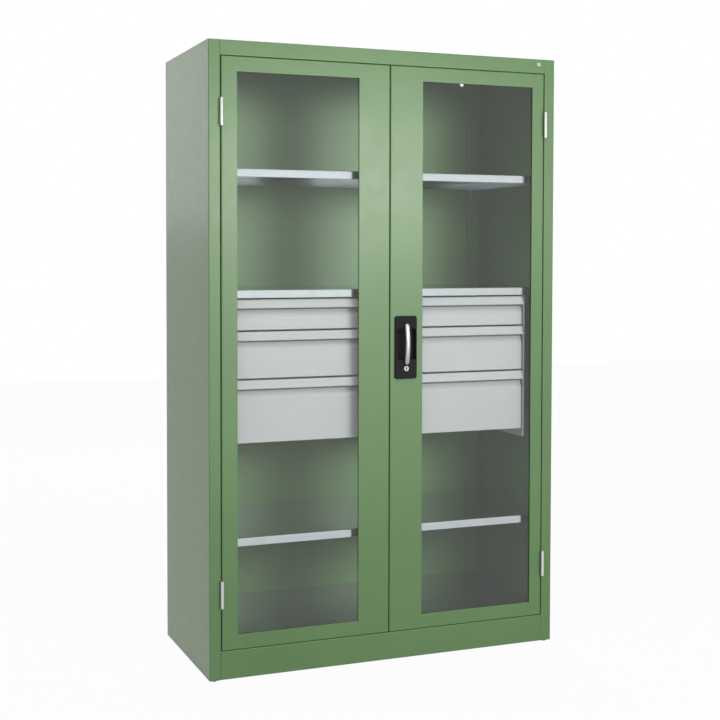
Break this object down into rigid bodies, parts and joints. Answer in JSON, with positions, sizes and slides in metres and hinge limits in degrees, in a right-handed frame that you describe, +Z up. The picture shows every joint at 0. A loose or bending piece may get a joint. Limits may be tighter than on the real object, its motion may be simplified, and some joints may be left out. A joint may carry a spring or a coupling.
{
  "type": "heavy-duty cabinet",
  "caption": "Tall steel cabinet with glazed double doors on barrel hinges, hung shelves, a block of full-width drawers, a recessed turn handle driving lock rods, and a plinth.",
  "frame": {"origin": "middle of the bounding box on the floor, between the feet", "axes": "+X to the right when facing the doors, +Y from the doors to the back, +Z up"},
  "size_m": [1.2, 0.5254, 1.95],
  "materials": {
    "body_paint": "green powder coat, fine orange peel",
    "interior_paint": "green powder coat, inside faces",
    "drawer_paint": "light grey powder coat",
    "shelf_zinc": "galvanised sheet",
    "slide_zinc": "bright zinc plate",
    "hinge_steel": "turned and plated steel",
    "rod_zinc": "zinc-plated bar",
    "window_pane": "clear acrylic sheet, polished",
    "pane_bead": "black glazing strip",
    "handle_plastic": "black glass-filled plastic, fine grain",
    "lever_metal": "satin die casting",
    "lock_metal": "plated brass",
    "foot_plastic": "dark green glide",
    "buffer_rubber": "soft black rubber"
  },
  "bodies": {
    "carcass": {"left_side_panel": "body_paint", "right_side_panel": "body_paint", "back_panel": "interior_paint", "top_panel": "body_paint", "floor_panel": "shelf_zinc", "plinth_panel": "body_paint", "rear_base_rail": "interior_paint", "corner_feet": "foot_plastic", "front_shelf_rails": "interior_paint", "rear_shelf_rails": "interior_paint", "shelf_clips": "shelf_zinc", "upper_shelf": "shelf_zinc", "middle_shelf": "shelf_zinc", "lower_shelf": "shelf_zinc", "drawer_housing_left": "drawer_paint", "drawer_housing_right": "drawer_paint", "drawer_housing_back": "drawer_paint", "drawer_slide_outer_members": "slide_zinc", "left_hinge_frame_leaves": "hinge_steel", "right_hinge_frame_leaves": "hinge_steel", "hinge_pins": "hinge_steel", "top_rail_cap": "hinge_steel", "upper_rod_keeper": "rod_zinc", "lower_rod_keeper": "rod_zinc", "door_buffers": "buffer_rubber", "magnetic_catch": "foot_plastic"},
    "left_door": {"left_door_panel": "body_paint", "left_window_pane": "window_pane", "left_pane_bead": "pane_bead", "left_hinge_door_leaves": "hinge_steel"},
    "right_door": {"right_door_panel": "body_paint", "right_window_pane": "window_pane", "right_pane_bead": "pane_bead", "right_hinge_door_leaves": "hinge_steel", "handle_housing": "handle_plastic", "housing_screws": "rod_zinc", "lock_barrel": "lock_metal", "rod_guides": "rod_zinc"},
    "handle": {"handle_lever": "lever_metal", "handle_spindle": "rod_zinc", "rod_cam": "rod_zinc"},
    "lock_plug": {"lock_plug": "lock_metal"},
    "upper_rod": {"upper_lock_rod": "rod_zinc"},
    "lower_rod": {"lower_lock_rod": "rod_zinc"},
    "upper_drawer": {"upper_drawer_front": "drawer_paint", "upper_drawer_tray": "drawer_paint", "upper_slide_inner_members": "slide_zinc"},
    "upper_slides": {"upper_slide_middle_members": "slide_zinc"},
    "middle_drawer": {"middle_drawer_front": "drawer_paint", "middle_drawer_tray": "drawer_paint", "middle_slide_inner_members": "slide_zinc"},
    "middle_slides": {"middle_slide_middle_members": "slide_zinc"},
    "lower_drawer": {"lower_drawer_front": "drawer_paint", "lower_drawer_tray": "drawer_paint", "lower_slide_inner_members": "slide_zinc"},
    "lower_slides": {"lower_slide_middle_members": "slide_zinc"}
  },
  "joints": [
    {"name": "left_door_hinge", "type": "hinge", "parent": "carcass", "child": "left_door", "pos_m": [-0.5615, -0.2458, 0.9975], "axis": [0, 0, -1], "range_deg": [0, 180]},
    {"name": "right_door_hinge", "type": "hinge", "parent": "carcass", "child": "right_door", "pos_m": [0.5615, -0.2458, 0.9975], "axis": [0, 0, 1], "range_deg": [0, 180]},
    {"name": "handle_turn", "type": "hinge", "parent": "right_door", "child": "handle", "pos_m": [0.0545, -0.2467, 1.076], "axis": [0, -1, 0], "range_deg": [0, 90]},
    {"name": "upper_rod_slide", "type": "slide", "parent": "right_door", "child": "upper_rod", "axis": [0, 0, 1], "range_m": [0, 0.0198]},
    {"name": "lower_rod_slide", "type": "slide", "parent": "right_door", "child": "lower_rod", "axis": [0, 0, -1], "range_m": [0, 0.0198]},
    {"name": "lock_plug_turn", "type": "hinge", "parent": "right_door", "child": "lock_plug", "pos_m": [0.0545, -0.2473, 0.94], "axis": [0, -1, 0], "range_deg": [0, 90]},
    {"name": "upper_drawer_slide", "type": "slide", "parent": "carcass", "child": "upper_drawer", "axis": [0, -1, 0], "range_m": [0, 0.009]},
    {"name": "upper_slide_extension", "type": "slide", "parent": "carcass", "child": "upper_slides", "axis": [0, -1, 0], "range_m": [0, 0.0045]},
    {"name": "middle_drawer_slide", "type": "slide", "parent": "carcass", "child": "middle_drawer", "axis": [0, -1, 0], "range_m": [0, 0.009]},
    {"name": "middle_slide_extension", "type": "slide", "parent": "carcass", "child": "middle_slides", "axis": [0, -1, 0], "range_m": [0, 0.0045]},
    {"name": "lower_drawer_slide", "type": "slide", "parent": "carcass", "child": "lower_drawer", "axis": [0, -1, 0], "range_m": [0, 0.009]},
    {"name": "lower_slide_extension", "type": "slide", "parent": "carcass", "child": "lower_slides", "axis": [0, -1, 0], "range_m": [0, 0.0045]}
  ],
  "couplings": [
    {"joint": "upper_rod_slide", "follows": "handle_turn", "m_per_rad": 0.012604},
    {"joint": "lower_rod_slide", "follows": "handle_turn", "m_per_rad": 0.012604},
    {"joint": "upper_slide_extension", "follows": "upper_drawer_slide", "ratio": 0.5},
    {"joint": "middle_slide_extension", "follows": "middle_drawer_slide", "ratio": 0.5},
    {"joint": "lower_slide_extension", "follows": "lower_drawer_slide", "ratio": 0.5}
  ]
}
